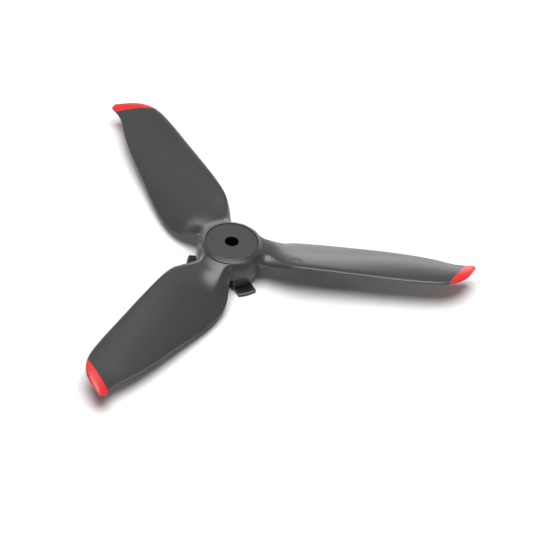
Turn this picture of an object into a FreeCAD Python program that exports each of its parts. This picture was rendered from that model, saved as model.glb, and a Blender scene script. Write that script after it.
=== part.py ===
"""Three-blade quick-release propeller for a small racing drone, in millimetres.

The spin axis is +Z, which is also the way the thrust points. The origin is the centre of the motor
socket's mouth, in the plane of the lock ring's foot. Blade 1 lies along +X, and blades 2 and 3 follow
it every 120 degrees, anticlockwise from above. The propeller turns clockwise seen from above, so each
blade's leading edge is its clockwise side.
"""
import FreeCAD, Part
import os
from math import cos, hypot, pi, radians, sqrt, tan

Vector = FreeCAD.Vector
Z_AXIS = Vector(0, 0, 1)
ORIGIN = Vector(0, 0, 0)

# Overall sizes
BLADE_COUNT = 3
PROP_DIAMETER = 134.6
PITCH = 71.1
ROOT_ANGLE = 21.3
AXIS_HEIGHT = 6.4
HUB_HEIGHT = 10.1

# Blade outline seen from above: distance along the blade, and offset to the side of the blade's axis.
# The first stretch is written from the hub's axis, and the tip stretch from the end of the blade.
LEAD_ROOT = [(5.5, 6.0), (7.5, 5.15), (9.8, 5.15), (12.0, 5.95), (17.0, 7.35), (25.0, 7.9)]
LEAD_TIP = [(23.0, 7.75), (12.5, 7.35), (7.6, 6.45), (3.7, 3.9), (1.1, -0.2), (0.2, -2.7)]
TRAIL_ROOT = [(5.5, 6.0), (7.2, 5.3), (9.0, 5.65), (12.0, 7.25), (16.0, 9.0), (21.5, 9.7)]
TRAIL_TIP = [(34.0, 8.7), (20.0, 6.9), (10.0, 4.7), (5.8, 3.55), (2.9, 3.5), (0.9, 3.8)]
RIB_ROOT = [5.5, 6.8, 8.0, 9.2, 10.6, 12.2, 14.2, 17.0, 21.0]
RIB_TIP = [(38.0, 38.0), (28.0, 28.0), (18.5, 18.0), (12.5, 9.6),
           (7.7, 3.0), (5.0, 2.0), (2.6, 1.4), (0.3, 0.9)]

# Blade section
BLADE_THICKNESS = 1.2
TIP_THICKNESS = 0.8
TRAIL_THICKNESS = 0.45
CAMBER = 0.055
NOSE_SHARE = 0.12
TAIL_SHARE = 0.14
TAIL_HEIGHT = 0.35
SECTION_POINTS = 28

# Thick root: how far out from the hub's wall it fades, and where its faces meet the wall
ROOT_RADIUS = 8.6
ROOT_REACH = 9.0
SADDLE_REACH = 4.8
ROOT_TOP_DROP = 1.0
ROOT_FOOT_LEAD = 4.9
ROOT_FOOT_TRAIL = 6.1
ROOT_FILLET = 1.7

# Coloured tip: the joint line runs from the leading edge to the trailing edge
TIP_LINE_LEAD = (7.7, 6.4)
TIP_LINE_TRAIL = (2.95, 3.45)

# Hub shell: a chamfered rim, a shoulder that swells to the wall, and a skirt that tapers to its legs
RIM_RADIUS = 7.4
CHAMFER_WIDTH = 0.95
CHAMFER_HEIGHT = 0.95
SHOULDER_STEP = 0.3
SHOULDER_FOOT = 6.8
WALL_RADIUS = 9.4
CAVITY_RADIUS = 7.2
WEB_THICKNESS = 1.2
SKIRT_TOP = 4.9
SKIRT_TAPER = 0.16
SKIRT_FOOT = 4.0
LEG_START = -2.4
LEG_FOOT_END = 2.5
LEG_TOP_END = 4.3

# Centre boss and ribs below the web
BORE_RADIUS = 1.9
BOSS_RADIUS = 3.4
BOSS_HEIGHT = 1.5
RIB_COUNT = 6
RIB_THICKNESS = 0.8
RIB_DEPTH = 1.2
RIB_BITE = 0.2

# Top plate, seated in the rim
PLATE_RADIUS = 7.05
PLATE_THICKNESS = 0.8
PLATE_RECESS = 0.12
PLATE_GAP = 0.05
PLATE_EDGE = 0.12

# Lock ring and its bayonet ears
RING_OUTER_RADIUS = 7.7
RING_WALL = 1.5
RING_HEIGHT = 5.4
RING_CLEARANCE = 0.05
RING_LEAD_IN = 0.4
BEAD_HEIGHT = 4.6
BEAD_SIZE = 0.15
EAR_ANGLE = -60.0
EAR_WIDTH = 5.1
EAR_SHIFT = -0.2
EAR_REACH = 11.65
EAR_THICKNESS = 1.0
EAR_CHAMFER = 0.25
EAR_POCKET = 0.2
EAR_POCKET_RIM = 0.6
STOP_START = -3.1
STOP_RADIUS = 8.65
SEAT_GAP = 0.05

TIP_RADIUS = PROP_DIAMETER / 2
TIP_X = sqrt(TIP_RADIUS ** 2 - LEAD_TIP[-1][1] ** 2)
RING_BORE_RADIUS = RING_OUTER_RADIUS - RING_WALL
SOCKET_RADIUS = RING_OUTER_RADIUS + RING_CLEARANCE
PLATE_SEAT = HUB_HEIGHT - PLATE_RECESS - PLATE_THICKNESS
WEB_FOOT = PLATE_SEAT - WEB_THICKNESS
RIB_FOOT = max(WEB_FOOT - RIB_DEPTH, RING_HEIGHT + SEAT_GAP)
BLADE_STEP = 360.0 / BLADE_COUNT
LEG_FOOT = EAR_THICKNESS + SEAT_GAP
ROOT_TOP = HUB_HEIGHT - ROOT_TOP_DROP


def smooth_step(share):
    """0 to 1 with a level start and end."""
    share = min(max(share, 0.0), 1.0)
    return share * share * (3 - 2 * share)


def plan_curve(root, tip):
    """An edge of the blade seen from above, as a smooth curve; tip stations count back from the end."""
    points = [Vector(x, y, 0) for x, y in root]
    points += [Vector(TIP_X - back, y, 0) for back, y in tip]
    curve = Part.BSplineCurve()
    curve.interpolate(points)
    return curve


def offset_at(curve, x):
    """The curve's side offset at the distance x along the blade."""
    low, high = curve.FirstParameter, curve.LastParameter
    for _ in range(50):
        middle = (low + high) / 2
        if curve.value(middle).x < x:
            low = middle
        else:
            high = middle
    return curve.value((low + high) / 2).y


def twist(x):
    """Slope of the chord at x: the helix of the pitch, held to the root angle near the hub."""
    helix = PITCH / (2 * pi * x)
    limit = tan(radians(ROOT_ANGLE))
    sharpness = 8
    return (helix ** -sharpness + limit ** -sharpness) ** (-1 / sharpness)


def quarter_round(share):
    """0 to 1 along a quarter of an ellipse."""
    return sqrt(max(0.0, 1 - (1 - min(share, 1.0)) ** 2))


def root_lift(x, y, share, upper, lower):
    """How far the thick root raises the upper face and lowers the lower one."""
    out = max(hypot(x, y) - ROOT_RADIUS, 0.0)
    saddle = 1 - (2 * share - 1) ** 2
    reach = ROOT_REACH + (SADDLE_REACH - ROOT_REACH) * saddle
    foot = ROOT_FOOT_LEAD + (ROOT_FOOT_TRAIL - ROOT_FOOT_LEAD) * share
    fillet = ROOT_FILLET * max(0.0, 1 - out / ROOT_FILLET) ** 2
    near = max(0.0, 1 - out / reach)
    rise = smooth_step(near) * (1 - share) + near ** 2 * share
    upper += (ROOT_TOP - upper) * rise
    lower += (foot - lower) * smooth_step(1 - out / ROOT_REACH) - fillet
    return upper, lower


def blade_heights(x, y, share, chord):
    """Upper and lower height of the blade at a point seen from above."""
    out = smooth_step((x - ROOT_RADIUS) / (TIP_X - ROOT_RADIUS))
    full = BLADE_THICKNESS + (TIP_THICKNESS - BLADE_THICKNESS) * out
    half = (full * (1 - share ** 1.5) + TRAIL_THICKNESS * share ** 1.5) / 2
    middle = AXIS_HEIGHT - y * twist(x) + CAMBER * chord * 4 * share * (1 - share)
    upper, lower = root_lift(x, y, share, middle + half, middle - half)
    nose = quarter_round(share / NOSE_SHARE)
    nose_height = upper - full / 2
    upper, lower = upper - full / 2 * (1 - nose), nose_height - (nose_height - lower) * nose
    tail = quarter_round((1 - share) / TAIL_SHARE)
    tail_height = lower + (upper - lower) * TAIL_HEIGHT
    blunt = min(TRAIL_THICKNESS, upper - lower) / 2
    upper = tail_height + blunt + (upper - tail_height - blunt) * tail
    lower = tail_height - blunt - (tail_height - blunt - lower) * tail
    return upper, lower


def rib_wire(lead, trail):
    """One closed section: round the nose from the trailing edge's top to its foot, then straight up."""
    chord = hypot(trail[0] - lead[0], trail[1] - lead[1])
    shares = [(1 - cos(pi * i / SECTION_POINTS)) / 2 for i in range(SECTION_POINTS + 1)]
    top, foot = [], []
    for share in shares:
        x = lead[0] + (trail[0] - lead[0]) * share
        y = lead[1] + (trail[1] - lead[1]) * share
        upper, lower = blade_heights(x, y, share, chord)
        top.append(Vector(x, y, upper))
        foot.append(Vector(x, y, lower))
    outline = list(reversed(top)) + foot[1:]
    curve = Part.BSplineCurve()
    curve.interpolate(outline)
    return Part.Wire([curve.toShape(), Part.makeLine(outline[-1], outline[0])])


def whole_blade():
    """Blade 1 from inside the hub to its end, as one solid through its ribs."""
    lead_curve = plan_curve(LEAD_ROOT, LEAD_TIP)
    trail_curve = plan_curve(TRAIL_ROOT, TRAIL_TIP)
    stations = [(x, x) for x in RIB_ROOT]
    stations += [(TIP_X - lead, TIP_X - trail) for lead, trail in RIB_TIP]
    ribs = []
    for lead_x, trail_x in stations:
        lead = (lead_x, -offset_at(lead_curve, lead_x))
        trail = (trail_x, offset_at(trail_curve, trail_x))
        ribs.append(rib_wire(lead, trail))
    return Part.makeLoft(ribs, True, False)


def beyond_tip_line():
    """Everything past the joint line of the coloured tip, as a tall block."""
    lead = Vector(TIP_X - TIP_LINE_LEAD[0], -TIP_LINE_LEAD[1], 0)
    trail = Vector(TIP_X - TIP_LINE_TRAIL[0], TIP_LINE_TRAIL[1], 0)
    along = (trail - lead).normalize()
    outward = Vector(along.y, -along.x, 0)
    start, end = lead - along * TIP_RADIUS, trail + along * TIP_RADIUS
    corners = [start, end, end + outward * TIP_RADIUS, start + outward * TIP_RADIUS, start]
    return Part.Face(Part.makePolygon(corners)).extrude(Z_AXIS * 2 * HUB_HEIGHT)


def turned(shape, angle):
    """A copy of the shape turned about the spin axis."""
    copy = shape.copy()
    copy.rotate(ORIGIN, Z_AXIS, angle)
    return copy


def revolved(profile):
    """A solid of revolution about the spin axis from (radius, height) corners."""
    points = [Vector(r, 0, z) for r, z in profile]
    points.append(points[0])
    return Part.Face(Part.makePolygon(points)).revolve(ORIGIN, Z_AXIS, 360)


def tube(inner, outer, foot, top):
    """A plain ring between two radii and two heights."""
    return revolved([(inner, foot), (outer, foot), (outer, top), (inner, top)])


def radial_block(inner, outer, width, foot, top, angle):
    """A block that points away from the spin axis at an angle, as wide as told."""
    block = Part.makeBox(outer - inner, width, top - foot, Vector(inner, -width / 2, foot))
    return turned(block, angle)


def skirt_radius(height):
    """The skirt's outer radius, which tapers towards the ears."""
    return WALL_RADIUS - (SKIRT_TOP - height) * SKIRT_TAPER


def hub_outline(foot):
    """The hub's outer form as a solid with no cavity, from a height of its skirt upwards."""
    chamfer_radius = RIM_RADIUS + CHAMFER_WIDTH
    chamfer_foot = HUB_HEIGHT - CHAMFER_HEIGHT
    return revolved([
        (0, foot),
        (skirt_radius(foot), foot),
        (WALL_RADIUS, SKIRT_TOP),
        (WALL_RADIUS, SHOULDER_FOOT),
        (chamfer_radius, chamfer_foot - SHOULDER_STEP),
        (chamfer_radius, chamfer_foot),
        (RIM_RADIUS, HUB_HEIGHT),
        (0, HUB_HEIGHT),
    ])


def skirt_leg():
    """One leg of the skirt, above the ear that lies along +X, with one sloping side."""
    corners = [(LEG_START, LEG_FOOT), (LEG_FOOT_END, LEG_FOOT),
               (LEG_TOP_END, SKIRT_FOOT), (LEG_START, SKIRT_FOOT)]
    points = [Vector(0, y, z) for y, z in corners]
    points.append(points[0])
    wedge = Part.Face(Part.makePolygon(points)).extrude(Vector(2 * WALL_RADIUS, 0, 0))
    return wedge.common(hub_outline(LEG_FOOT)).cut(tube(0, SOCKET_RADIUS, 0, RING_HEIGHT))


def hub_body():
    """The moulded hub: rim, wall, web, boss, ribs and the skirt with its three legs."""
    body = hub_outline(SKIRT_FOOT)
    body = body.cut(tube(0, SOCKET_RADIUS, 0, RING_HEIGHT))
    body = body.cut(tube(0, CAVITY_RADIUS, 0, WEB_FOOT))
    boss = tube(0, BOSS_RADIUS, WEB_FOOT - BOSS_HEIGHT, WEB_FOOT)
    body = body.fuse(boss)
    for index in range(RIB_COUNT):
        angle = index * 360.0 / RIB_COUNT
        outer = CAVITY_RADIUS + RIB_BITE
        rib = radial_block(BOSS_RADIUS - RIB_BITE, outer, RIB_THICKNESS, RIB_FOOT, WEB_FOOT, angle)
        body = body.fuse(rib)
    body = body.cut(tube(0, PLATE_RADIUS + PLATE_GAP, PLATE_SEAT, HUB_HEIGHT))
    body = body.cut(tube(0, BORE_RADIUS, 0, HUB_HEIGHT))
    body = body.cut(bead_groove())
    for index in range(BLADE_COUNT):
        angle = EAR_ANGLE + index * BLADE_STEP
        body = body.fuse(turned(skirt_leg(), angle))
    return body.removeSplitter()


def bead_profile(radius, size):
    """A rounded-off ridge round a cylinder, as a triangle in section."""
    foot, top = BEAD_HEIGHT - 2 * size, BEAD_HEIGHT + 2 * size
    return [(radius - size, foot), (radius, foot), (radius + size, BEAD_HEIGHT),
            (radius, top), (radius - size, top)]


def bead_groove():
    """The groove in the hub that the lock ring's bead snaps into."""
    return revolved(bead_profile(SOCKET_RADIUS, BEAD_SIZE + RING_CLEARANCE))


def ear():
    """One bayonet ear along +X: a flat tongue with a shallow pocket and a chamfered end."""
    side = EAR_SHIFT - EAR_WIDTH / 2
    tongue = Part.makeBox(2 * EAR_REACH, EAR_WIDTH, EAR_THICKNESS, Vector(0, side, 0))
    chamfer_foot = EAR_THICKNESS - EAR_CHAMFER
    tongue = tongue.common(revolved([
        (0, 0),
        (EAR_REACH, 0),
        (EAR_REACH, chamfer_foot),
        (EAR_REACH - EAR_CHAMFER, EAR_THICKNESS),
        (0, EAR_THICKNESS),
    ]))
    pocket = Part.makeBox(2 * EAR_REACH, EAR_WIDTH - 2 * EAR_POCKET_RIM, EAR_POCKET,
                          Vector(0, side + EAR_POCKET_RIM, EAR_THICKNESS - EAR_POCKET))
    pocket_end = EAR_REACH - EAR_POCKET_RIM - EAR_CHAMFER
    return tongue.cut(pocket.common(tube(skirt_radius(0), pocket_end, 0, EAR_THICKNESS)))


def ear_stop():
    """The upright at the clockwise side of the ear along +X, between the ear and the skirt."""
    width = LEG_START - SEAT_GAP - STOP_START
    height = SKIRT_FOOT - SEAT_GAP
    block = Part.makeBox(2 * STOP_RADIUS, width, height, Vector(0, STOP_START, 0))
    return block.common(tube(0, STOP_RADIUS, 0, height))


def lock_ring():
    """The black insert: a ring that snaps into the hub, three ears and three stops."""
    ring = revolved([
        (RING_BORE_RADIUS, 0),
        (RING_OUTER_RADIUS, 0),
        (RING_OUTER_RADIUS, RING_HEIGHT - RING_LEAD_IN),
        (RING_OUTER_RADIUS - RING_LEAD_IN, RING_HEIGHT),
        (RING_BORE_RADIUS, RING_HEIGHT),
    ])
    ring = ring.fuse(revolved(bead_profile(RING_OUTER_RADIUS, BEAD_SIZE)))
    for index in range(BLADE_COUNT):
        angle = EAR_ANGLE + index * BLADE_STEP
        ring = ring.fuse(turned(ear(), angle))
        ring = ring.fuse(turned(ear_stop(), angle))
    ring = ring.cut(tube(0, RING_BORE_RADIUS, -HUB_HEIGHT, HUB_HEIGHT))
    return ring.removeSplitter()


def top_plate():
    """The flat disc on top of the hub, with its edge broken and the bore through it."""
    top = PLATE_SEAT + PLATE_THICKNESS
    return revolved([
        (BORE_RADIUS, PLATE_SEAT),
        (PLATE_RADIUS, PLATE_SEAT),
        (PLATE_RADIUS, top - PLATE_EDGE),
        (PLATE_RADIUS - PLATE_EDGE, top),
        (BORE_RADIUS, top),
    ])


def save(shape, name):
    """Writes one sub-part, after a check that it is whole."""
    solids = shape.Solids
    volume = sum(solid.Volume for solid in solids)
    print(name, "valid", shape.isValid(), "solids", len(solids), "volume", round(volume, 2))
    whole = solids[0] if len(solids) == 1 else Part.makeCompound(solids)
    whole.exportStep("parts/" + name + ".step")


def main():
    os.makedirs("parts", exist_ok=True)
    full = whole_blade().cut(hub_outline(LEG_FOOT))
    block = beyond_tip_line()
    blade, tip = full.cut(block), full.common(block)
    for index in range(BLADE_COUNT):
        number = str(index + 1)
        save(turned(blade, index * BLADE_STEP), "blade_" + number)
        save(turned(tip, index * BLADE_STEP), "blade_tip_" + number)
    save(hub_body(), "hub_body")
    save(lock_ring(), "lock_ring")
    save(top_plate(), "top_plate")


main()
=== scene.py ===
# %% [markdown]
# # A three-blade drone propeller
#
# The real object is a small moulded propeller. A short round hub carries three twisted blades with
# coloured tips. A flat plate closes the hub's top, and a black ring with three bayonet ears sits
# underneath and locks on the motor. This lesson loads the measured model, then makes each piece again
# with finer shapes and with finishes that are worked out by nodes.

# %% Load the measured model
from math import asin, atan2, cos, hypot, pi, radians, sin, sqrt, tan

import bmesh
import bpy
import numpy as np
from mathutils import Matrix, Vector


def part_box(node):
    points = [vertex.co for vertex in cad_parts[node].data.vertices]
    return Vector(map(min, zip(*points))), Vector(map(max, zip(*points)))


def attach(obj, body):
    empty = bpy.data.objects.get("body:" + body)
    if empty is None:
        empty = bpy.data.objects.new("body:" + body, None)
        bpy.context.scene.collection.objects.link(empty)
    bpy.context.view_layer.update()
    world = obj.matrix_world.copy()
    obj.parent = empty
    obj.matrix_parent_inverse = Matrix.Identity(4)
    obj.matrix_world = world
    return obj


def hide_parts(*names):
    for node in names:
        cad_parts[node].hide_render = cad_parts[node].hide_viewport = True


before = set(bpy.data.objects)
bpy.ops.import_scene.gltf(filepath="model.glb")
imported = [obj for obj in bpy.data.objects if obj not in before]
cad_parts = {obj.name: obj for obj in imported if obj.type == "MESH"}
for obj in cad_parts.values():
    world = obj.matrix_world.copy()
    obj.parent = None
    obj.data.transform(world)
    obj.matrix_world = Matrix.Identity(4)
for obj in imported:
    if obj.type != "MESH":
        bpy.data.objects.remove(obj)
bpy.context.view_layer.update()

MM = 0.001
BLADES = 3
print("nodes:", ", ".join(sorted(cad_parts)))


# %% [markdown]
# ## The camera
#
# A small flat object looks natural through a long lens from far away, because the blade that comes
# towards the camera isn't blown up. The camera could be turned by a tracking constraint, but plain
# angles are easier to read: how far it stands round the object, how high, and how much it leans.

# %% Camera
CAMERA_AIM = Vector((9.96, -5.50, 7.0)) * MM
CAMERA_DISTANCE = 1.0093
CAMERA_HEIGHT = radians(42.635)
CAMERA_SWING = radians(2.012)
CAMERA_LEAN = radians(6.683)
CAMERA_LENS = 252.0


def make_camera():
    """Puts the camera on its line of sight, level first and then leaned about that line."""
    forward = Vector((sin(CAMERA_SWING) * cos(CAMERA_HEIGHT), cos(CAMERA_SWING) * cos(CAMERA_HEIGHT),
                      -sin(CAMERA_HEIGHT)))
    level = forward.cross(Vector((0, 0, 1))).normalized()
    upright = level.cross(forward)
    right = level * cos(CAMERA_LEAN) + upright * sin(CAMERA_LEAN)
    up = upright * cos(CAMERA_LEAN) - level * sin(CAMERA_LEAN)
    turn = Matrix((right, up, -forward)).transposed().to_4x4()
    data = bpy.data.cameras.new("camera")
    data.sensor_width = 36
    data.lens = CAMERA_LENS
    data.clip_start = 0.01
    camera = bpy.data.objects.new("camera", data)
    camera.matrix_world = Matrix.Translation(CAMERA_AIM - forward * CAMERA_DISTANCE) @ turn
    bpy.context.collection.objects.link(camera)
    bpy.context.scene.camera = camera
    return camera


camera = make_camera()
print("camera at", [round(v, 3) for v in camera.matrix_world.translation])


# %% [markdown]
# ## Floor, room and lamps
#
# The object stands on a white floor. One wide lamp right overhead lights it and gives the soft-edged
# shadow under the blades, and small lamps in front and behind put the sheen on the hub and the blades.
# Low down at the back the room glows white, which is what the blades' slanting faces mirror. That glow
# is a gradient on the world's own shader: it is cheap to render, where walls need many bounces.

# %% Floor
def smooth_faces(mesh, angle=35):
    """Shades a mesh smooth, except over edges that bend more than the angle."""
    mesh.polygons.foreach_set("use_smooth", [True] * len(mesh.polygons))
    mesh.set_sharp_from_angle(angle=radians(angle))


def new_object(name, mesh):
    """A new object at the origin that holds a mesh."""
    made = bpy.data.objects.new(name, mesh)
    bpy.context.collection.objects.link(made)
    return made


def make_floor(radius, height):
    """A round white floor under the object."""
    mesh = bpy.data.meshes.new("floor")
    form = bmesh.new()
    bmesh.ops.create_circle(form, cap_ends=True, segments=96, radius=radius)
    bmesh.ops.translate(form, verts=form.verts, vec=(0, 0, height))
    form.to_mesh(mesh)
    form.free()
    paint = bpy.data.materials.new("floor_white")
    paint.use_nodes = True
    shader = paint.node_tree.nodes["Principled BSDF"]
    shader.inputs["Base Color"].default_value = (0.92, 0.92, 0.92, 1)
    shader.inputs["Roughness"].default_value = 0.9
    shader.inputs["Specular IOR Level"].default_value = 0.2
    mesh.materials.append(paint)
    return new_object("floor", mesh)


FLOOR_RADIUS, FLOOR_GAP = 4.0, 0.02 * MM
FLOOR_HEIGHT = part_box("lock_ring")[0][2] - FLOOR_GAP
floor = make_floor(FLOOR_RADIUS, FLOOR_HEIGHT)
print("floor at", round(FLOOR_HEIGHT / MM, 3), "mm")

# %% Room and lamps
ROOM_GLOW = [(0.0, 1.0), (0.10, 0.9), (0.28, 0.40), (0.45, 0.10), (0.60, 0.02)]
ROOM_SIDES = [(0.58, 0.05), (0.95, 1.0)]
ROOM_STRENGTH = 3.4


def ramp_of(nodes, stops):
    """A grey colour ramp with a stop for each (position, value)."""
    ramp = nodes.new("ShaderNodeValToRGB")
    ramp.color_ramp.interpolation = "EASE"
    while len(ramp.color_ramp.elements) < len(stops):
        ramp.color_ramp.elements.new(0.5)
    for element, (position, value) in zip(ramp.color_ramp.elements, stops):
        element.position = position
        element.color = (value, value, value, 1)
    return ramp


def make_room():
    """A world that glows white low down behind the object and fades upwards and to the front."""
    world = bpy.data.worlds.new("white_room")
    bpy.context.scene.world = world
    world.use_nodes = True
    nodes, links = world.node_tree.nodes, world.node_tree.links
    place = nodes.new("ShaderNodeTexCoord")
    split = nodes.new("ShaderNodeSeparateXYZ")
    upwards, sideways = ramp_of(nodes, ROOM_GLOW), ramp_of(nodes, ROOM_SIDES)
    half = nodes.new("ShaderNodeMath")
    half.operation = "MULTIPLY_ADD"
    half.inputs[1].default_value = 0.5
    half.inputs[2].default_value = 0.5
    both = nodes.new("ShaderNodeMath")
    both.operation = "MULTIPLY"
    links.new(place.outputs["Generated"], split.inputs[0])
    links.new(split.outputs["Z"], upwards.inputs[0])
    links.new(split.outputs["Y"], half.inputs[0])
    links.new(half.outputs[0], sideways.inputs[0])
    links.new(upwards.outputs[0], both.inputs[0])
    links.new(sideways.outputs[0], both.inputs[1])
    links.new(both.outputs[0], nodes["Background"].inputs["Color"])
    nodes["Background"].inputs["Strength"].default_value = ROOM_STRENGTH
    return world


def soft_lamp(name, azimuth, height, distance, size, power):
    """A round soft lamp that faces the object; azimuth is measured from +X."""
    data = bpy.data.lights.new(name, "AREA")
    data.shape = "DISK"
    data.size = size
    data.energy = power
    lamp = bpy.data.objects.new(name, data)
    away = Vector((cos(radians(azimuth)) * cos(radians(height)), sin(radians(azimuth)) * cos(radians(height)),
                   sin(radians(height))))
    lamp.location = away * distance
    lamp.rotation_euler = away.to_track_quat("Z", "Y").to_euler()
    bpy.context.collection.objects.link(lamp)
    return lamp


make_room()
lamps = [
    soft_lamp("lamp_overhead", -120, 88.5, 1.2, 1.05, 18.5),
    soft_lamp("lamp_front", -105, 50, 1.3, 0.60, 0.35),
    soft_lamp("lamp_back_left", 132, 48, 1.5, 0.8, 0.55),
    soft_lamp("lamp_back_right", 68, 49, 1.5, 0.4, 0.18),
]
bpy.context.scene.view_settings.view_transform = "Standard"
print("lamps:", ", ".join(lamp.name for lamp in lamps))


# %% [markdown]
# ## Plastics
#
# All pieces are moulded plastic, so one effect is shared by all their finishes: a faint cloudiness of
# the colour, a fine grain left by the mould, and a gloss that varies a little. It could be copied into
# every material, but a shader node group is built once and placed with other values each time. It
# reads Object coordinates, which stay on the piece when it turns.

# %% Shared effect: moulded surface
CLOUD_SCALE, CLOUD_DETAIL, GRAIN_DETAIL = 220.0, 4.0, 3.0


def add_socket(group, name, kind, way, value=None, low=None, high=None):
    """One named input or output of a node group."""
    socket = group.interface.new_socket(name, in_out=way, socket_type=kind)
    if value is not None:
        socket.default_value = value
    if low is not None:
        socket.min_value = low
    if high is not None:
        socket.max_value = high
    return socket


def moulded_surface_group():
    """Colour, roughness and grain height of a moulded plastic surface."""
    group = bpy.data.node_groups.new("moulded_surface", "ShaderNodeTree")
    add_socket(group, "Plastic colour", "NodeSocketColor", "INPUT", (0.07, 0.07, 0.07, 1))
    add_socket(group, "Cloudiness", "NodeSocketFloat", "INPUT", 0.08)
    add_socket(group, "Roughness", "NodeSocketFloat", "INPUT", 0.4)
    add_socket(group, "Roughness spread", "NodeSocketFloat", "INPUT", 0.06)
    add_socket(group, "Grain scale", "NodeSocketFloat", "INPUT", 3500.0)
    add_socket(group, "Colour", "NodeSocketColor", "OUTPUT")
    add_socket(group, "Roughness", "NodeSocketFloat", "OUTPUT")
    add_socket(group, "Height", "NodeSocketFloat", "OUTPUT")
    nodes, links = group.nodes, group.links
    given = nodes.new("NodeGroupInput")
    result = nodes.new("NodeGroupOutput")
    place = nodes.new("ShaderNodeTexCoord")
    clouds = nodes.new("ShaderNodeTexNoise")
    clouds.inputs["Scale"].default_value = CLOUD_SCALE
    clouds.inputs["Detail"].default_value = CLOUD_DETAIL
    grain = nodes.new("ShaderNodeTexNoise")
    grain.inputs["Detail"].default_value = GRAIN_DETAIL
    links.new(place.outputs["Object"], clouds.inputs["Vector"])
    links.new(place.outputs["Object"], grain.inputs["Vector"])
    links.new(given.outputs["Grain scale"], grain.inputs["Scale"])
    centred = nodes.new("ShaderNodeMath")
    centred.operation = "SUBTRACT"
    centred.inputs[1].default_value = 0.5
    links.new(clouds.outputs["Fac"], centred.inputs[0])
    shade = nodes.new("ShaderNodeMath")
    shade.operation = "MULTIPLY_ADD"
    shade.inputs[2].default_value = 1.0
    links.new(centred.outputs[0], shade.inputs[0])
    links.new(given.outputs["Cloudiness"], shade.inputs[1])
    tinted = nodes.new("ShaderNodeVectorMath")
    tinted.operation = "SCALE"
    links.new(given.outputs["Plastic colour"], tinted.inputs[0])
    links.new(shade.outputs[0], tinted.inputs["Scale"])
    links.new(tinted.outputs[0], result.inputs["Colour"])
    rough = nodes.new("ShaderNodeMath")
    rough.operation = "MULTIPLY_ADD"
    links.new(centred.outputs[0], rough.inputs[0])
    links.new(given.outputs["Roughness spread"], rough.inputs[1])
    links.new(given.outputs["Roughness"], rough.inputs[2])
    links.new(rough.outputs[0], result.inputs["Roughness"])
    links.new(grain.outputs["Fac"], result.inputs["Height"])
    for column, node in enumerate(nodes):
        node.location = (column * 180, 0)
    return group


moulded_surface = moulded_surface_group()
print("group", moulded_surface.name, "with", len(moulded_surface.nodes), "nodes")


# %% Finishes
def plastic(name, colour, roughness, grain_scale, grain_depth, cloudiness=0.1, specular=0.5):
    """A moulded plastic that uses the shared surface group with its own values."""
    made = bpy.data.materials.new(name)
    made.use_nodes = True
    nodes, links = made.node_tree.nodes, made.node_tree.links
    shader = nodes["Principled BSDF"]
    shader.inputs["IOR"].default_value = 1.5
    shader.inputs["Specular IOR Level"].default_value = specular
    surface = nodes.new("ShaderNodeGroup")
    surface.node_tree = moulded_surface
    surface.inputs["Plastic colour"].default_value = (*colour, 1)
    surface.inputs["Cloudiness"].default_value = cloudiness
    surface.inputs["Roughness"].default_value = roughness
    surface.inputs["Grain scale"].default_value = grain_scale
    bump = nodes.new("ShaderNodeBump")
    bump.inputs["Strength"].default_value = 1.0
    bump.inputs["Distance"].default_value = grain_depth
    links.new(surface.outputs["Colour"], shader.inputs["Base Color"])
    links.new(surface.outputs["Roughness"], shader.inputs["Roughness"])
    links.new(surface.outputs["Height"], bump.inputs["Height"])
    links.new(bump.outputs["Normal"], shader.inputs["Normal"])
    return made


hub_finish = plastic("hub_satin_grey", (0.052, 0.053, 0.057), 0.30, 2600, 0.004 * MM)
blade_finish = plastic("blade_satin_grey", (0.052, 0.053, 0.057), 0.30, 2600, 0.003 * MM)
plate_finish = plastic("plate_matt_grey", (0.050, 0.050, 0.055), 0.55, 4200, 0.006 * MM, specular=0.35)
# Near-black painted shade for the walls of the centre bore, where little light reaches into the hole.
bore_shade_finish = plastic("bore_painted_shade", (0.004, 0.004, 0.004), 0.5, 3000, 0.004 * MM, specular=0.2)
ring_finish = plastic("ring_black", (0.016, 0.016, 0.017), 0.34, 3000, 0.004 * MM)
# A lighter grey for the ears' slanting borders: a painted highlight, where their chamfers catch the light.
ear_highlight_finish = plastic("ring_painted_edge_highlight", (0.17, 0.17, 0.175), 0.36, 3000, 0.004 * MM)
tip_finish = plastic("tip_red", (0.72, 0.031, 0.027), 0.30, 2600, 0.003 * MM, cloudiness=0.05)
print("finishes:", ", ".join(m.name for m in bpy.data.materials))


# %% [markdown]
# ## The moulded hub
#
# The hub is round, so it is turned on a lathe: a closed outline of radius and height goes round the
# axis. The outline's main corners get small arcs, because a mould leaves no razor edge and an arc
# catches the light, and a bevel softens the sharp corners that are left. The rim's chamfer has two fine
# turned lines. Three legs hang from the skirt above the ears. Their sides are flat rather than radial,
# so the columns of the lathe lean a little to meet them, and no Boolean is needed.

# %% Hub outline
RIM_RADIUS, HUB_TOP = 7.4, 10.1
PLATE_HOLE, PLATE_SEAT = 7.10, 9.18
WALL_RADIUS, SKIRT_TOP, SKIRT_FOOT, SKIRT_TAPER = 9.4, 4.9, 4.0, 0.16
LEG_FOOT, LEG_START, LEG_FOOT_END, LEG_TOP_END = 1.05, -2.4, 2.5, 4.3
SOCKET_RADIUS, SOCKET_TOP, CAVITY_RADIUS, WEB_FOOT = 7.75, 5.4, 7.2, 7.98
BOSS_RADIUS, BOSS_FOOT, BORE_RADIUS = 3.4, 6.48, 1.9
EAR_ANGLES = (-60, 60, 180)
SHELL_ABOVE, SHELL_BELOW, SHELL_SPLIT = 7.25, 7.85, 7.0


def skirt_radius(height):
    """The skirt's outer radius, which tapers downwards."""
    return WALL_RADIUS - (SKIRT_TOP - height) * SKIRT_TAPER


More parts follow.
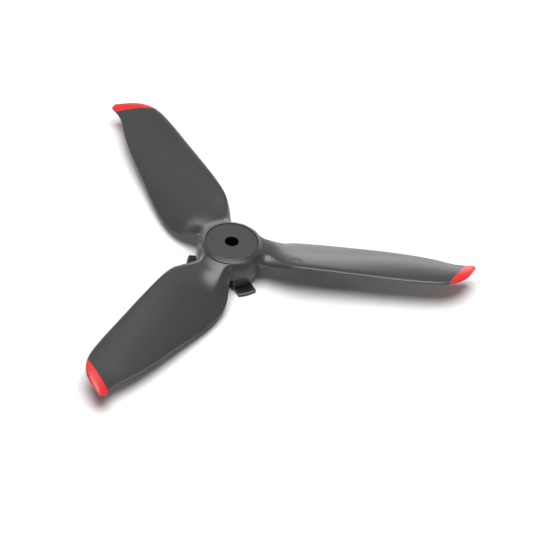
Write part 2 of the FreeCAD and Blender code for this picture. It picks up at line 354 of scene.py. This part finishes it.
def rounded(corners, steps=4, guard=0.03):
    """A closed outline whose corners (radius, height, rounding) are small arcs with a guard point each side."""
    points = []
    for index, (r, z, size) in enumerate(corners):
        corner = Vector((r, z))
        before = (Vector(corners[index - 1][:2]) - corner).normalized()
        after = (Vector(corners[(index + 1) % len(corners)][:2]) - corner).normalized()
        if size == 0:
            points.append(corner)
            continue
        half = before.angle(after) / 2
        reach = size / tan(half)
        centre = corner + (before + after).normalized() * (size / sin(half))
        points.append(corner + before * (reach + guard))
        start, end = corner + before * reach - centre, corner + after * reach - centre
        for step in range(steps + 1):
            arm = start.slerp(end, step / steps)
            points.append(centre + arm.normalized() * size)
        points.append(corner + after * (reach + guard))
    return points


outer_corners = [
    (RIM_RADIUS, HUB_TOP, 0.07),
    (7.66, 9.95, 0),
    (7.69, 9.90, 0),
    (7.74, 9.89, 0),
    (8.00, 9.73, 0),
    (8.03, 9.68, 0),
    (8.08, 9.67, 0),
    (8.38, 9.47, 0.12),
    (8.36, 8.85, 0.10),
    (WALL_RADIUS, 6.8, 4.5),
    (WALL_RADIUS, SKIRT_TOP, 0.5),
    (skirt_radius(SKIRT_FOOT), SKIRT_FOOT, 0),
]
inner_corners = [
    (SOCKET_RADIUS, SKIRT_FOOT, 0),
    (SOCKET_RADIUS, SOCKET_TOP, 0),
    (CAVITY_RADIUS, SOCKET_TOP, 0.06),
    (CAVITY_RADIUS, WEB_FOOT, 0.3),
    (BOSS_RADIUS, WEB_FOOT, 0.3),
    (BOSS_RADIUS, BOSS_FOOT, 0.15),
    (BORE_RADIUS, BOSS_FOOT, 0.15),
    (BORE_RADIUS, PLATE_SEAT, 0),
    (PLATE_HOLE, PLATE_SEAT, 0),
    (PLATE_HOLE, HUB_TOP, 0.05),
]
hub_profile = rounded(outer_corners + inner_corners)
print("hub outline:", len(hub_profile), "points")

# %% Hub lathe
LEG_STEPS, GAP_STEPS = 24, 44


def column_angles(radius, start, end):
    """Directions of the lathe's columns, spaced so that two of them meet each leg's flat sides."""
    angles = []
    first, last = asin(start / radius), asin(end / radius)
    gap = 2 * pi / 3 - (last - first)
    for ear in EAR_ANGLES:
        angles += [radians(ear) + first + (last - first) * step / LEG_STEPS for step in range(LEG_STEPS)]
        angles += [radians(ear) + last + gap * step / GAP_STEPS for step in range(GAP_STEPS)]
    return angles


def ring_of(form, radius, height, angles):
    """One ring of vertices."""
    return [form.verts.new((radius * cos(a) * MM, radius * sin(a) * MM, height * MM)) for a in angles]


def make_hub():
    """The hub's shell, web and boss with the skirt's three legs, as one closed mesh."""
    form = bmesh.new()
    outer_angles = column_angles(skirt_radius(SKIRT_FOOT), LEG_START, LEG_TOP_END)
    inner_angles = column_angles(SOCKET_RADIUS, LEG_START, LEG_TOP_END)
    rings = []
    for point in hub_profile:
        outside = point.x > (SHELL_BELOW if point.y < SHELL_SPLIT else SHELL_ABOVE)
        rings.append(ring_of(form, point.x, point.y, outer_angles if outside else inner_angles))
    foot = next(i for i, p in enumerate(hub_profile) if abs(p.y - SKIRT_FOOT) < 1e-6)
    columns = len(outer_angles)
    period = LEG_STEPS + GAP_STEPS
    for index, ring in enumerate(rings):
        beyond = rings[(index + 1) % len(rings)]
        for column in range(columns):
            if index == foot and column % period < LEG_STEPS:
                continue
            after = (column + 1) % columns
            form.faces.new((ring[column], beyond[column], beyond[after], ring[after]))
    low_outer = ring_of(form, skirt_radius(LEG_FOOT), LEG_FOOT,
                        column_angles(skirt_radius(LEG_FOOT), LEG_START, LEG_FOOT_END))
    low_inner = ring_of(form, SOCKET_RADIUS, LEG_FOOT, column_angles(SOCKET_RADIUS, LEG_START, LEG_FOOT_END))
    top_outer, top_inner = rings[foot], rings[foot + 1]
    for leg in range(BLADES):
        first = leg * period
        for column in range(first, first + LEG_STEPS):
            after = column + 1
            form.faces.new((top_outer[column], low_outer[column], low_outer[after], top_outer[after]))
            form.faces.new((low_outer[column], low_inner[column], low_inner[after], low_outer[after]))
            form.faces.new((low_inner[column], top_inner[column], top_inner[after], low_inner[after]))
        for column in (first, first + LEG_STEPS):
            form.faces.new((top_outer[column], top_inner[column], low_inner[column], low_outer[column]))
    bmesh.ops.delete(form, geom=[v for v in form.verts if not v.link_faces], context="VERTS")
    bmesh.ops.recalc_face_normals(form, faces=form.faces)
    mesh = bpy.data.meshes.new("hub_moulding")
    form.to_mesh(mesh)
    form.free()
    mesh.materials.append(hub_finish)
    return new_object("hub_moulding", mesh)


def settle(made, angle=35):
    """Turns an object's modifiers into plain mesh, shades it and returns its count of triangles."""
    graph = bpy.context.evaluated_depsgraph_get()
    mesh = bpy.data.meshes.new_from_object(made.evaluated_get(graph), depsgraph=graph)
    made.modifiers.clear()
    old, made.data = made.data, mesh
    bpy.data.meshes.remove(old)
    smooth_faces(made.data, angle)
    made.data.calc_loop_triangles()
    return len(made.data.loop_triangles)


def bevel(made, width, angle=50, segments=3):
    """Rounds an object's sharp edges."""
    rounding = made.modifiers.new("rounded edges", "BEVEL")
    rounding.width = width
    rounding.segments = segments
    rounding.limit_method = "ANGLE"
    rounding.angle_limit = radians(angle)


def darken_bore(mesh):
    """Gives the upright faces of the centre bore a near-black painted shade, for the dark inside of the hole.
    """
    mesh.materials.append(bore_shade_finish)
    for face in mesh.polygons:
        if face.center.xy.length < (BORE_RADIUS + 0.05) * MM and abs(face.normal.z) < 0.3:
            face.material_index = 1


hub = make_hub()
bevel(hub, 0.07 * MM, 55, 2)
print("hub_moulding:", settle(hub), "triangles")
darken_bore(hub.data)
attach(hub, "root")
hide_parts("hub_body")


# %% [markdown]
# ## Ribs under the web
#
# Six thin ribs stiffen the web from below. They are the same rib turned round the axis, which is what
# Geometry Nodes instances are for: one box, placed on points round a circle. The tree ends by making
# the instances real, because the exported model keeps only real meshes.

# %% Rib tree
def new_tree(name, sizes, *extra):
    """A geometry tree with a named input for each size, and the node that gives them."""
    tree = bpy.data.node_groups.new(name, "GeometryNodeTree")
    add_socket(tree, "Geometry", "NodeSocketGeometry", "INPUT")
    add_socket(tree, "Geometry", "NodeSocketGeometry", "OUTPUT")
    add_socket(tree, "Finish", "NodeSocketMaterial", "INPUT")
    for details in extra:
        add_socket(tree, *details)
    for label, value in sizes.items():
        add_socket(tree, label, "NodeSocketFloat", "INPUT", value)
    return tree, tree.nodes.new("NodeGroupInput")


def linked(tree, kind, **inputs):
    """A new node whose named inputs are linked; an underscore in a name stands for a space."""
    made = tree.nodes.new(kind)
    for name, socket in inputs.items():
        tree.links.new(socket, made.inputs[name.replace("_", " ")])
    return made


def end_tree(tree, given, shape):
    """Ends a tree with real geometry that wears the finish, and lays its nodes out in rows."""
    real = linked(tree, "GeometryNodeRealizeInstances", Geometry=shape)
    painted = linked(tree, "GeometryNodeSetMaterial", Geometry=real.outputs[0],
                     Material=given.outputs["Finish"])
    linked(tree, "NodeGroupOutput", Geometry=painted.outputs[0])
    for count, node in enumerate(tree.nodes):
        node.location = (count % 24 * 180, -(count // 24) * 220)
    return tree


def set_inputs(modifier, values):
    """Sets a modifier's inputs through the identifiers of its sockets."""
    for item in modifier.node_group.interface.items_tree:
        if item.item_type == "SOCKET" and item.in_out == "INPUT" and item.name in values:
            modifier[item.identifier] = values[item.name]


RIB_SIZES = {
    "Middle radius": 5.3 * MM, "Rib length": 4.2 * MM, "Rib thickness": 0.8 * MM,
    "Rib depth": 1.3 * MM, "Middle height": 7.4 * MM,
}


def rib_tree():
    """Boxes that point away from the axis, at equal steps round it."""
    tree, given = new_tree("radial_ribs", RIB_SIZES, ("Rib count", "NodeSocketInt", "INPUT", 6, 1, 24))
    size = given.outputs
    circle = linked(tree, "GeometryNodeMeshCircle", Vertices=size["Rib count"], Radius=size["Middle radius"])
    block = linked(tree, "ShaderNodeCombineXYZ",
                   X=size["Rib length"], Y=size["Rib thickness"], Z=size["Rib depth"])
    box = linked(tree, "GeometryNodeMeshCube", Size=block.outputs[0])
    place = tree.nodes.new("GeometryNodeInputPosition")
    facing = linked(tree, "FunctionNodeAlignRotationToVector", Vector=place.outputs[0])
    facing.axis = "X"
    copies = linked(tree, "GeometryNodeInstanceOnPoints", Points=circle.outputs["Mesh"],
                    Instance=box.outputs["Mesh"], Rotation=facing.outputs["Rotation"])
    lift = linked(tree, "ShaderNodeCombineXYZ", Z=size["Middle height"])
    raised = linked(tree, "GeometryNodeTransform", Geometry=copies.outputs[0], Translation=lift.outputs[0])
    return end_tree(tree, given, raised.outputs[0])


ribs = new_object("hub_ribs", bpy.data.meshes.new("hub_ribs"))
growth = ribs.modifiers.new("ribs", "NODES")
growth.node_group = rib_tree()
set_inputs(growth, {"Finish": hub_finish, "Rib count": 6})
bevel(ribs, 0.08 * MM, 50, 2)
print("hub_ribs:", settle(ribs), "triangles")
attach(ribs, "root")
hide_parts("hub_body")


# %% [markdown]
# ## Top plate
#
# A flat matt disc is pressed into the hub's rim, flush but for a hair. What gives it away as its own
# piece is the thin dark seam round it, so its edge is turned with a fine arc and the gap stays open.

# %% Top plate
def lathe(name, profile, finish, columns=192):
    """A closed outline turned all the way round the axis."""
    form = bmesh.new()
    angles = [2 * pi * i / columns for i in range(columns)]
    rings = [ring_of(form, point.x, point.y, angles) for point in profile]
    for index, ring in enumerate(rings):
        beyond = rings[(index + 1) % len(rings)]
        for column in range(columns):
            after = (column + 1) % columns
            form.faces.new((ring[column], beyond[column], beyond[after], ring[after]))
    bmesh.ops.recalc_face_normals(form, faces=form.faces)
    mesh = bpy.data.meshes.new(name)
    form.to_mesh(mesh)
    form.free()
    mesh.materials.append(finish)
    smooth_faces(mesh)
    return new_object(name, mesh)


PLATE_TOP, PLATE_RADIUS = 9.98, 7.05
plate = lathe("cover_plate", rounded([
    (PLATE_RADIUS, PLATE_TOP, 0.10),
    (PLATE_RADIUS, PLATE_SEAT, 0),
    (BORE_RADIUS, PLATE_SEAT, 0),
    (BORE_RADIUS, PLATE_TOP, 0.10),
]), plate_finish)
darken_bore(plate.data)
print("cover_plate:", len(plate.data.polygons), "faces")
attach(plate, "root")
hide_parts("top_plate")


# %% [markdown]
# ## Lock ring
#
# The black ring and its ears have flat faces and simple arcs, so the measured shape is right as it is.
# A copy is merged into a clean mesh, its flat facets are joined, and a fine bevel softens its sharp edges.
# The slanting border round each ear gets a lighter finish, a painted highlight where the chamfer catches the
# light.

# %% Lock ring
def merged_copy(node, name, finish):
    """A clean copy of a measured node: doubles merged and flat facets joined."""
    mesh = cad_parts[node].data.copy()
    mesh.name = name
    form = bmesh.new()
    form.from_mesh(mesh)
    bmesh.ops.remove_doubles(form, verts=form.verts, dist=0.001 * MM)
    bmesh.ops.dissolve_limit(form, angle_limit=radians(0.5), verts=form.verts, edges=form.edges)
    form.to_mesh(mesh)
    form.free()
    mesh.materials.clear()
    mesh.materials.append(finish)
    return new_object(name, mesh)


def wear_ears(mesh):
    """Gives the slanting border round each ear's top face a lighter finish, a painted edge highlight; returns
    its count of faces.
    """
    mesh.materials.append(ear_highlight_finish)
    highlit = 0
    for face in mesh.polygons:
        on_ear = face.center.xy.length > EAR_START * MM and EAR_LOW * MM < face.center.z < EAR_TOP * MM
        if on_ear and 0.3 < face.normal.z < 0.95:
            face.material_index = 1
            highlit += 1
    return highlit


EAR_START, EAR_LOW, EAR_TOP = 8.4, 0.70, 1.02
ring = merged_copy("lock_ring", "bayonet_ring", ring_finish)
bevel(ring, 0.06 * MM, 40, 2)
print("bayonet_ring:", settle(ring), "triangles")
print("worn faces:", wear_ears(ring.data))
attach(ring, "root")
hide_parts("lock_ring")


# %% [markdown]
# ## Blades
#
# A propeller blade follows a rule: at each distance from the axis its chord leans by the angle of a
# screw of one pitch, its section is a thin arched aerofoil, and near the hub it thickens into a root.
# Sculpting would lose that rule. Here a flat sheet with the blade's outline is laid out first, two
# layers thick, and a Geometry Nodes tree raises every point of it by the rule. The three blades are
# the same tree with another turn angle.

# %% Blade outline
AXIS_HEIGHT, PITCH, ROOT_ANGLE = 6.4, 71.1, 21.3
PROP_RADIUS = 67.3
LEAD_ROOT = [(5.5, 6.0), (7.5, 5.15), (9.8, 5.15), (12.0, 5.95), (17.0, 7.35), (25.0, 7.9)]
LEAD_TIP = [(23.0, 7.75), (12.5, 7.35), (7.6, 6.45), (3.7, 3.9), (1.18, -0.2), (0.2, -2.7)]
TRAIL_ROOT = [(5.5, 6.0), (7.2, 5.3), (9.0, 5.65), (12.0, 7.25), (16.0, 9.0), (21.5, 9.7)]
TRAIL_TIP = [(34.0, 8.7), (20.0, 6.9), (10.0, 4.7), (5.8, 3.55), (2.9, 3.5), (0.9, 3.8)]
BLADE_END = sqrt(PROP_RADIUS ** 2 - LEAD_TIP[-1][1] ** 2)


def smooth_curve(root, tip, samples=4000):
    """Points along a curve with no kinks through an edge's stations; tip stations count back."""
    knots = np.array(root + [(BLADE_END - back, side) for back, side in tip])
    spans = np.hypot(*np.diff(knots, axis=0).T)
    along = np.concatenate(([0], np.cumsum(spans)))
    count = len(knots)
    system, wanted = np.eye(count), np.zeros((count, 2))
    for i in range(1, count - 1):
        system[i, i - 1:i + 2] = spans[i - 1], 2 * (spans[i - 1] + spans[i]), spans[i]
        wanted[i] = 6 * ((knots[i + 1] - knots[i]) / spans[i] - (knots[i] - knots[i - 1]) / spans[i - 1])
    bend = np.linalg.solve(system, wanted)
    t = np.linspace(0, along[-1], samples)
    k = np.clip(np.searchsorted(along, t) - 1, 0, count - 2)
    h, a, b = spans[k][:, None], (along[k + 1] - t)[:, None], (t - along[k])[:, None]
    return ((bend[k] * a ** 3 + bend[k + 1] * b ** 3) / (6 * h)
            + (knots[k] / h - bend[k] * h / 6) * a + (knots[k + 1] / h - bend[k + 1] * h / 6) * b)


lead_edge = smooth_curve(LEAD_ROOT, LEAD_TIP) * (1, -1)
trail_edge = smooth_curve(TRAIL_ROOT, TRAIL_TIP)
print("blade outline ends at", round(float(lead_edge[-1][0]), 2), "mm")

# %% Blade stations
WALL_STATIONS = [7.9, 8.5, 8.9, 9.2, 9.5, 9.8, 10.2, 10.7, 11.3, 12.0, 13.0, 14.5, 17.0, 21.0]
TIP_STATIONS = [(38.0, 38.0), (28.0, 28.0), (18.5, 18.0), (12.5, 9.6),
                (7.7, 2.95), (5.0, 2.0), (2.6, 1.4), (0.3, 0.9)]
JOINT_STATION = 4
JOINT_INDEX = len(WALL_STATIONS) + JOINT_STATION - 1
FINE_STEP, COARSE_STEP, FINE_STATIONS = 0.35, 0.9, 12


def at_radius(edge, radius):
    """The point of an edge at a distance from the axis."""
    away = np.hypot(edge[:, 0], edge[:, 1])
    start = int(np.argmin(away))
    return edge[start + int(np.argmin(np.abs(away[start:] - radius)))]


def at_x(edge, x):
    """The point of an edge at a distance along the blade."""
    return np.array((x, np.interp(x, edge[:, 0], edge[:, 1])))


def station_ends():
    """The lead and trail points of all stations, and which station is the tip's joint line."""
    ends = [(at_radius(lead_edge, r), at_radius(trail_edge, r)) for r in WALL_STATIONS]
    ends += [(at_x(lead_edge, BLADE_END - a), at_x(trail_edge, BLADE_END - b)) for a, b in TIP_STATIONS]
    rows, joint = [], 0
    for index, (here, beyond) in enumerate(zip(ends, ends[1:])):
        length = max(np.hypot(*(beyond[0] - here[0])), np.hypot(*(beyond[1] - here[1])))
        fine = index < FINE_STATIONS or index >= JOINT_INDEX
        steps = max(1, round(length / (FINE_STEP if fine else COARSE_STEP)))
        for step in range(steps):
            share = step / steps
            lead = at_x(lead_edge, here[0][0] + (beyond[0][0] - here[0][0]) * share)
            trail = at_x(trail_edge, here[1][0] + (beyond[1][0] - here[1][0]) * share)
            rows.append((lead, trail))
        if index == JOINT_INDEX:
            joint = len(rows)
    rows.append(ends[-1])
    return rows, joint


SECTION_STEPS = 32
station_rows, joint_row = station_ends()
section_shares = [(1 - cos(pi * i / SECTION_STEPS)) / 2 for i in range(SECTION_STEPS + 1)]
print("blade:", len(station_rows), "stations, coloured from", joint_row)

# %% Flat blade sheet
BEND_END, BEND_SPAN = 20, 9


def sheet_point(lead, trail, share):
    """A point across a station, which bends round the hub near the root."""
    straight = lead + (trail - lead) * share
    lead_way, trail_way = atan2(lead[1], lead[0]), atan2(trail[1], trail[0])
    way = lead_way + (trail_way - lead_way) * share
    away = np.hypot(*lead) + (np.hypot(*trail) - np.hypot(*lead)) * share
    curved = np.array((away * cos(way), away * sin(way)))
    bend = min(max((BEND_END - away) / BEND_SPAN, 0), 1)
    bend = bend * bend * (3 - 2 * bend)
    return straight + (curved - straight) * bend


def flat_sheet(name, rows):
    """A closed flat sheet of two layers joined round the nose, with what the rule needs on each point."""
    mesh = bpy.data.meshes.new(name)
    places, shares, chords, sides, faces = [], [], [], [], []
    outline = [(share, 1.0) for share in reversed(section_shares)]
    outline += [(share, -1.0) for share in section_shares[1:]]
    for lead, trail in rows:
        chord = hypot(*(trail - lead))
        for share, side in outline:
            x, y = sheet_point(lead, trail, share)
            places.append((x * MM, y * MM, 0))
            shares.append(share)
            chords.append(chord * MM)
            sides.append(side)
    loop = 2 * SECTION_STEPS + 1
    for row in range(len(rows) - 1):
        for step in range(loop):
            after = (step + 1) % loop
            here, beyond = row * loop, (row + 1) * loop
            faces.append((here + step, here + after, beyond + after, beyond + step))
    for row, turn in ((0, 1), (len(rows) - 1, -1)):
        for step in range(SECTION_STEPS):
            near, far = row * loop + step, row * loop + loop - 1 - step
            ring = [near, near + 1, far - 1, far] if near + 1 != far - 1 else [near, near + 1, far]
            faces.append(ring[::turn])
    mesh.from_pydata(places, [], faces)
    for label, values in (("share", shares), ("chord", chords), ("side", sides)):
        mesh.attributes.new(label, "FLOAT", "POINT").data.foreach_set("value", values)
    return new_object(name, mesh)


# %% [markdown]
# ## The blade's rule as nodes
#
# The rule is long arithmetic, and a node for each sum would hide it. A small class lets the sums be
# written as Python while it places the math nodes. Read in order, the rule lays the aerofoil on the
# screw, sinks the root's foot, lifts the arm that joins the hub, adds its crest against the wall, cuts
# the bevel along the leading edge, and last rounds the nose and the tail.

# %% Arithmetic with nodes
class Field:
    """A number that varies over the mesh, held by the output of a math node."""

    def __init__(self, tree, socket):
        self.tree = tree
        self.socket = socket

    def node(self, operation, *values):
        """A math node fed by fields and plain numbers."""
        made = self.tree.nodes.new("ShaderNodeMath")
        made.operation = operation
        for slot, value in enumerate(values):
            if isinstance(value, Field):
                self.tree.links.new(value.socket, made.inputs[slot])
            else:
                made.inputs[slot].default_value = value
        return Field(self.tree, made.outputs[0])

    def __add__(self, other):
        return self.node("ADD", self, other)

    def __radd__(self, other):
        return self.node("ADD", other, self)

    def __sub__(self, other):
        return self.node("SUBTRACT", self, other)

    def __rsub__(self, other):
        return self.node("SUBTRACT", other, self)

    def __mul__(self, other):
        return self.node("MULTIPLY", self, other)

    def __rmul__(self, other):
        return self.node("MULTIPLY", other, self)

    def __truediv__(self, other):
        return self.node("DIVIDE", self, other)

    def __rtruediv__(self, other):
        return self.node("DIVIDE", other, self)

    def __pow__(self, other):
        return self.node("POWER", self, other)

    def limited(self):
        """The number held between 0 and 1."""
        return self.node("MINIMUM", self.node("MAXIMUM", self, 0.0), 1.0)

    def eased(self):
        """0 to 1 with a level start and end."""
        held = self.limited()
        return held * held * (3.0 - 2.0 * held)

    def quarter_round(self):
        """0 to 1 along a quarter of an ellipse."""
        return self.node("SQRT", 1.0 - (1.0 - self.limited()) ** 2.0)

    def mixed(self, other, share):
        """This number where the share is 0 and the other where it is 1."""
        return self + (other - self) * share


# %% Blade tree
BLADE_SIZES = {
    "Axis height": AXIS_HEIGHT * MM, "Pitch": PITCH * MM, "Root slope": tan(radians(ROOT_ANGLE)),
    "Blade end": BLADE_END * MM, "Root thickness": 1.2 * MM, "Tip thickness": 0.8 * MM,
    "Trailing thickness": 0.45 * MM, "Camber": 0.055, "Nose share": 0.12, "Tail share": 0.14,
    "Tail height": 0.35, "Root radius": 8.6 * MM, "Root reach": 9.0 * MM, "Root top": 8.70 * MM,
    "Root foot lead": 4.9 * MM, "Root foot trail": 6.1 * MM, "Root fillet": 1.7 * MM,
    "Arm reach": 14.5 * MM, "Arm fade": 4.5 * MM, "Arm share": 0.83, "Arm flank": 0.14,
    "Arm spread": 0.22, "Flank spread": 1.3, "Wing curl": 3.6 * MM,
    "Crest height": 0.55 * MM, "Crest reach": 2.8 * MM,
    "Bevel width": 2.4 * MM, "Bevel reach": 10.5 * MM, "Bevel slope": 0.62,
    "Bevel ease": 0.25, "Ease reach": 4.2 * MM, "Bevel softness": 0.3 * MM, "Turn": 0.0,
}


def blade_tree():
    """Raises a flat blade sheet by the propeller's rule and turns it to its place."""
    tree, given = new_tree("screw_blade", BLADE_SIZES)
    size = {name: Field(tree, given.outputs[name]) for name in BLADE_SIZES}
    place = tree.nodes.new("GeometryNodeInputPosition")
    split = linked(tree, "ShaderNodeSeparateXYZ", Vector=place.outputs[0])
    x, y = Field(tree, split.outputs["X"]), Field(tree, split.outputs["Y"])
    read = {}
    for label in ("share", "chord", "side"):
        named = tree.nodes.new("GeometryNodeInputNamedAttribute")
        named.data_type = "FLOAT"
        named.inputs["Name"].default_value = label
        read[label] = Field(tree, named.outputs["Attribute"])
    share, chord, side = read["share"], read["chord"], read["side"]

    helix = size["Pitch"] / (x * (2 * pi))
    slope = (helix ** -8.0 + size["Root slope"] ** -8.0) ** -0.125
    outward = ((x - size["Root radius"]) / (size["Blade end"] - size["Root radius"])).eased()
    full = size["Root thickness"].mixed(size["Tip thickness"], outward)
    half = full.mixed(size["Trailing thickness"], share ** 1.5) * 0.5
    hump = share * (1.0 - share) * 4.0
    middle = size["Axis height"] - y * slope + size["Camber"] * chord * hump
    upper, lower = middle + half, middle - half

    away = ((x * x + y * y) ** 0.5 - size["Root radius"])
    out = away.node("MAXIMUM", away, 0.0)
    foot = size["Root foot lead"].mixed(size["Root foot trail"], share)
    fillet = size["Root fillet"] * (1.0 - out / size["Root fillet"]).limited() ** 2.0
    sink = (foot - lower) * (1.0 - out / size["Root reach"]).eased()
    spread = (out / size["Arm reach"]).limited() * size["Arm spread"]
    flank = size["Arm flank"] + spread * size["Flank spread"]
    arm = 1.0 - ((share - size["Arm share"] + spread) / flank).eased()
    near_arm = (1.0 - out / (size["Arm reach"] - size["Arm fade"] * (share * 2.0).eased())).eased()
    near_wing = (1.0 - out / size["Wing curl"]).limited() ** 3.0
    wing = upper + sink.node("MAXIMUM", sink, 0.0) * (1.0 - arm)
    upper = wing.mixed(size["Root top"], near_wing.mixed(near_arm, arm))
    lower = lower + sink - fillet
    upper = upper + size["Crest height"] * (1.0 - out / size["Crest reach"]).limited() ** 2.0
    width = size["Bevel width"] * (1.0 - (out / size["Bevel reach"]).limited() ** 3.0)
    inset = width - share * chord
    inset = inset.node("MAXIMUM", inset, 0.0)
    slant = size["Bevel slope"] * (1.0 - size["Bevel ease"] * (out / size["Ease reach"]).eased())
    upper = upper - slant * inset * inset / (inset + size["Bevel softness"])

    nose = (share / size["Nose share"]).quarter_round()
    nose_height = upper - full * 0.5
    upper = upper - full * 0.5 * (1.0 - nose)
    lower = nose_height.mixed(lower, nose)
    tail = ((1.0 - share) / size["Tail share"]).quarter_round()
    tail_height = lower.mixed(upper, size["Tail height"])
    blunt = upper.node("MINIMUM", size["Trailing thickness"], upper - lower) * 0.5
    upper = (tail_height + blunt).mixed(upper, tail)
    lower = (tail_height - blunt).mixed(lower, tail)
    height = lower.mixed(upper, side * 0.5 + 0.5)

    lifted = linked(tree, "ShaderNodeCombineXYZ", X=x.socket, Y=y.socket, Z=height.socket)
    shaped = linked(tree, "GeometryNodeSetPosition", Geometry=given.outputs["Geometry"],
                    Position=lifted.outputs[0])
    turn = linked(tree, "ShaderNodeCombineXYZ", Z=given.outputs["Turn"])
    turned = linked(tree, "GeometryNodeTransform", Geometry=shaped.outputs[0], Rotation=turn.outputs[0])
    return end_tree(tree, given, turned.outputs[0])


screw_blade = blade_tree()
print("screw_blade:", len(screw_blade.nodes), "nodes")

# %% Three blades and their tips
def grow(name, rows, finish, turn):
    """One blade piece from its flat sheet."""
    made = flat_sheet(name, rows)
    rule = made.modifiers.new("screw rule", "NODES")
    rule.node_group = screw_blade
    set_inputs(rule, BLADE_SIZES | {"Finish": finish, "Turn": turn})
    triangles = settle(made, 50)
    for label in ("share", "chord", "side"):
        made.data.attributes.remove(made.data.attributes[label])
    form = bmesh.new()
    form.from_mesh(made.data)
    bmesh.ops.recalc_face_normals(form, faces=form.faces)
    form.to_mesh(made.data)
    form.free()
    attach(made, "root")
    return made, triangles


blades, tips = [], []
for number in range(1, BLADES + 1):
    turn = (number - 1) * 2 * pi / BLADES
    blade, blade_count = grow("moulded_blade_" + str(number), station_rows[:joint_row + 1], blade_finish, turn)
    tip, tip_count = grow("coloured_tip_" + str(number), station_rows[joint_row:], tip_finish, turn)
    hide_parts("blade_" + str(number))
    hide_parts("blade_tip_" + str(number))
    blades.append(blade)
    tips.append(tip)
    print(blade.name, blade_count, "triangles,", tip.name, tip_count)


# %% [markdown]
# ## Turning marks
#
# A small raised mark near each root stands for the one on the real blade. It is an arc with two barbs
# at its clockwise end, given a round wire section, dropped on blade 1 by a raycast, and repeated round
# the axis as instances. It could be a bump in the finish, but then it would vanish from the mesh. The
# barbs open ahead of the arc's end, where an arrowhead's barbs run back from its point, so the mark
# doesn't show the way round. The propeller turns clockwise seen from above.

# %% Mark tree
MARK_SIZES = {
    "Mark distance": 17.6 * MM, "Mark offset": -4.3 * MM, "Arc radius": 1.25 * MM,
    "Wire radius": 0.12 * MM, "Barb length": 0.75 * MM, "Sink": 0.03 * MM,
}
ARC_START, ARC_SWEEP, ARC_POINTS, BARB_POINTS, WIRE_SIDES = 20, 140, 28, 8, 8
BARB_LEANS = (35, -75)
DROP_HEIGHT = 20 * MM


def mark_strokes(tree, size):
    """The arc and the two barbs of one mark, as curves round the arc's centre."""
    arc = linked(tree, "GeometryNodeCurveArc", Radius=size["Arc radius"])
    arc.inputs["Resolution"].default_value = ARC_POINTS
    arc.inputs["Start Angle"].default_value = radians(ARC_START)
    arc.inputs["Sweep Angle"].default_value = radians(ARC_SWEEP)
    strokes = linked(tree, "GeometryNodeJoinGeometry", Geometry=arc.outputs["Curve"])
    radius = Field(tree, size["Arc radius"])
    point = linked(tree, "ShaderNodeCombineXYZ", X=(radius * cos(radians(ARC_START))).socket,
                   Y=(radius * sin(radians(ARC_START))).socket)
    for lean in BARB_LEANS:
        barb = tree.nodes.new("GeometryNodeCurvePrimitiveLine")
        barb.mode = "DIRECTION"
        barb.inputs["Direction"].default_value = (cos(radians(90 + lean)), -sin(radians(90 + lean)), 0)
        tree.links.new(size["Barb length"], barb.inputs["Length"])
        fine = linked(tree, "GeometryNodeResampleCurve", Curve=barb.outputs["Curve"])
        fine.inputs["Count"].default_value = BARB_POINTS
        moved = linked(tree, "GeometryNodeTransform", Geometry=fine.outputs["Curve"],
                       Translation=point.outputs[0])
        tree.links.new(moved.outputs[0], strokes.inputs[0])
    return strokes.outputs[0]


def mark_tree():
    """Marks that lie on the blades, one on each."""
    tree, given = new_tree("turning_marks", MARK_SIZES, ("Blade", "NodeSocketObject", "INPUT"),
                           ("Blade count", "NodeSocketInt", "INPUT", BLADES, 1, 12))
    size = given.outputs
    section = linked(tree, "GeometryNodeCurvePrimitiveCircle", Radius=size["Wire radius"])
    section.inputs["Resolution"].default_value = WIRE_SIDES
    wire = linked(tree, "GeometryNodeCurveToMesh", Curve=mark_strokes(tree, size),
                  Profile_Curve=section.outputs["Curve"])
    wire.inputs["Fill Caps"].default_value = True
    spot = linked(tree, "ShaderNodeCombineXYZ", X=size["Mark distance"], Y=size["Mark offset"])
    placed = linked(tree, "GeometryNodeTransform", Geometry=wire.outputs["Mesh"], Translation=spot.outputs[0])

    place = tree.nodes.new("GeometryNodeInputPosition")
    split = linked(tree, "ShaderNodeSeparateXYZ", Vector=place.outputs[0])
    above = linked(tree, "ShaderNodeCombineXYZ", X=split.outputs["X"], Y=split.outputs["Y"])
    above.inputs["Z"].default_value = DROP_HEIGHT
    target = linked(tree, "GeometryNodeObjectInfo", Object=size["Blade"])
    drop = linked(tree, "GeometryNodeRaycast", Target_Geometry=target.outputs["Geometry"],
                  Source_Position=above.outputs[0])
    drop.inputs["Ray Length"].default_value = 2 * DROP_HEIGHT
    hit = linked(tree, "ShaderNodeSeparateXYZ", Vector=drop.outputs["Hit Position"])
    height = Field(tree, hit.outputs["Z"]) + Field(tree, split.outputs["Z"]) - Field(tree, size["Sink"])
    laid = linked(tree, "ShaderNodeCombineXYZ", X=split.outputs["X"], Y=split.outputs["Y"], Z=height.socket)
    draped = linked(tree, "GeometryNodeSetPosition", Geometry=placed.outputs[0], Position=laid.outputs[0])

    centre = linked(tree, "GeometryNodePoints", Count=size["Blade count"])
    number = tree.nodes.new("GeometryNodeInputIndex")
    turn = Field(tree, number.outputs[0]) * (2 * pi) / Field(tree, size["Blade count"])
    spin = linked(tree, "ShaderNodeCombineXYZ", Z=turn.socket)
    copies = linked(tree, "GeometryNodeInstanceOnPoints", Points=centre.outputs[0],
                    Instance=draped.outputs[0], Rotation=spin.outputs[0])
    return end_tree(tree, given, copies.outputs[0])


marks = new_object("turning_marks", bpy.data.meshes.new("turning_marks"))
drawing = marks.modifiers.new("marks", "NODES")
drawing.node_group = mark_tree()
set_inputs(drawing, MARK_SIZES | {"Finish": blade_finish, "Blade": blades[0], "Blade count": BLADES})
print("turning_marks:", settle(marks, 60), "triangles")
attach(marks, "root")
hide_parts("blade_1", "blade_2", "blade_3")
